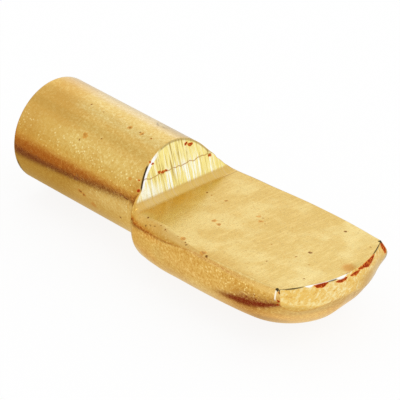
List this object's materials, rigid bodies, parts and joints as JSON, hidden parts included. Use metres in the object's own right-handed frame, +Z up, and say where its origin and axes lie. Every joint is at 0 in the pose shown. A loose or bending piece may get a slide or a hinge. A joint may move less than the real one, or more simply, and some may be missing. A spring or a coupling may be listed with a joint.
{
  "type": "shelf support pin",
  "caption": "Spoon-shaped shelf support pin: a round shank plugs into a hole in the cabinet side, and a flat-topped head carries the shelf.",
  "frame": {"origin": "on the shank's axis, in the plane of the cabinet side, where the head begins to swell out of the round shank", "axes": "+X along the shank out of the hole towards the tip of the head, +Z up towards the shelf, +Y across the head"},
  "size_m": [0.0237, 0.0092, 0.0069],
  "materials": {
    "brass_plate": "bright brass plating over cold-pressed steel, rusted along the sheared tip"
  },
  "bodies": {
    "root": {"pin": "brass_plate"}
  },
  "joints": []
}
